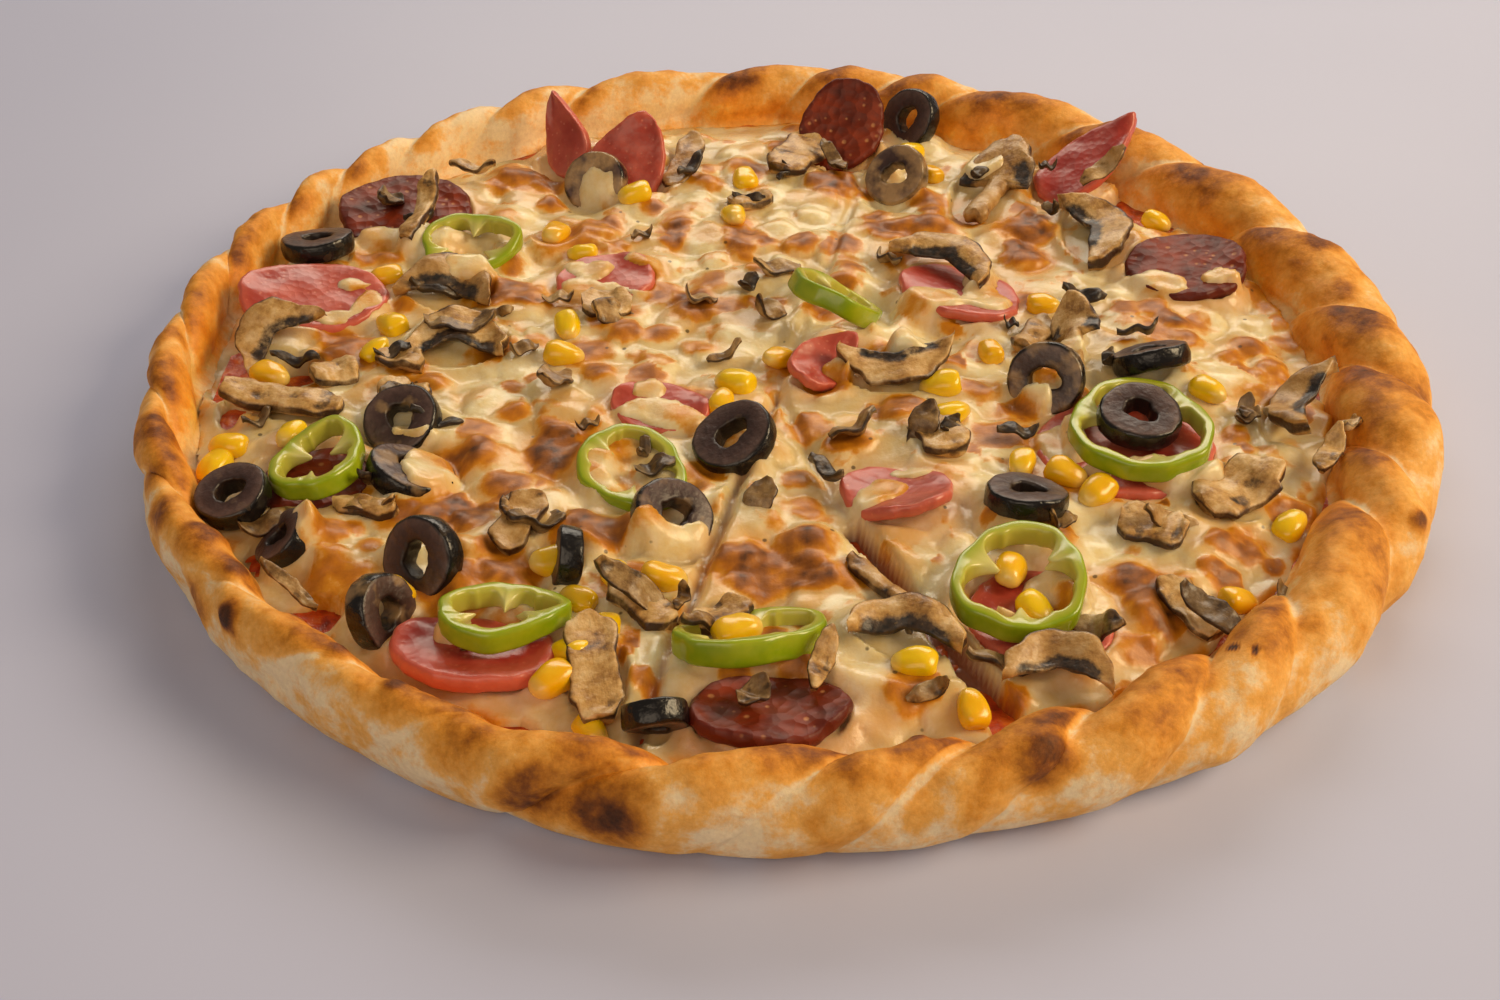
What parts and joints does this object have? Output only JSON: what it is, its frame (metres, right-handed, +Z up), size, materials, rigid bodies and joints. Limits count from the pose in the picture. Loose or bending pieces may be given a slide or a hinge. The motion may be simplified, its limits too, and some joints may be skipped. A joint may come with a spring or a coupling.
{
  "type": "pan pizza",
  "caption": "Round pan pizza with a thick folded rim, melted cheese, olive and green pepper rings, cured meat slices, mushrooms and sweet corn, cut part of the way across.",
  "frame": {"origin": "centre of the round pizza, at its flat underside", "axes": "+Z up out of the toppings, +Y away from the camera, +X to the camera's right"},
  "size_m": [0.3008, 0.301, 0.0299],
  "materials": {
    "baked_dough": "matt baked dough, golden with darker tops",
    "melted_cheese": "satin melted cheese with toasted spots",
    "black_olive": "moist dark olive",
    "green_pepper": "glossy pepper skin",
    "pink_salami": "oily cured meat",
    "dark_sausage": "oily cured meat, dark",
    "baked_mushroom": "dry baked mushroom",
    "tomato_sauce": "wet tomato sauce",
    "sweet_corn": "glossy corn kernel"
  },
  "bodies": {
    "root": {"crust": "baked_dough", "cheese": "melted_cheese", "olive_ring_01": "black_olive", "olive_ring_02": "black_olive", "olive_ring_03": "black_olive", "olive_ring_04": "black_olive", "olive_ring_05": "black_olive", "olive_ring_06": "black_olive", "olive_ring_07": "black_olive", "olive_ring_08": "black_olive", "olive_ring_09": "black_olive", "olive_ring_10": "black_olive", "olive_ring_11": "black_olive", "olive_ring_12": "black_olive", "olive_ring_13": "black_olive", "olive_ring_14": "black_olive", "olive_ring_15": "black_olive", "olive_ring_16": "black_olive", "olive_ring_17": "black_olive", "olive_ring_18": "black_olive", "pepper_ring_1": "green_pepper", "pepper_ring_2": "green_pepper", "pepper_ring_3": "green_pepper", "pepper_ring_4": "green_pepper", "pepper_ring_5": "green_pepper", "pepper_ring_6": "green_pepper", "pepper_ring_7": "green_pepper", "pepper_ring_8": "green_pepper", "salami_01": "pink_salami", "salami_02": "pink_salami", "salami_03": "pink_salami", "salami_04": "pink_salami", "salami_05": "pink_salami", "salami_06": "pink_salami", "salami_07": "pink_salami", "salami_08": "pink_salami", "salami_09": "pink_salami", "salami_10": "pink_salami", "salami_11": "pink_salami", "salami_12": "pink_salami", "sausage_01": "dark_sausage", "sausage_02": "dark_sausage", "sausage_03": "dark_sausage", "sausage_04": "dark_sausage", "sausage_05": "dark_sausage", "mushroom_01": "baked_mushroom", "mushroom_02": "baked_mushroom", "mushroom_03": "baked_mushroom", "mushroom_04": "baked_mushroom", "mushroom_05": "baked_mushroom", "mushroom_06": "baked_mushroom", "mushroom_07": "baked_mushroom", "mushroom_08": "baked_mushroom", "mushroom_09": "baked_mushroom", "mushroom_10": "baked_mushroom", "mushroom_11": "baked_mushroom", "mushroom_12": "baked_mushroom", "mushroom_13": "baked_mushroom", "mushroom_14": "baked_mushroom", "mushroom_15": "baked_mushroom"}
  },
  "joints": []
}
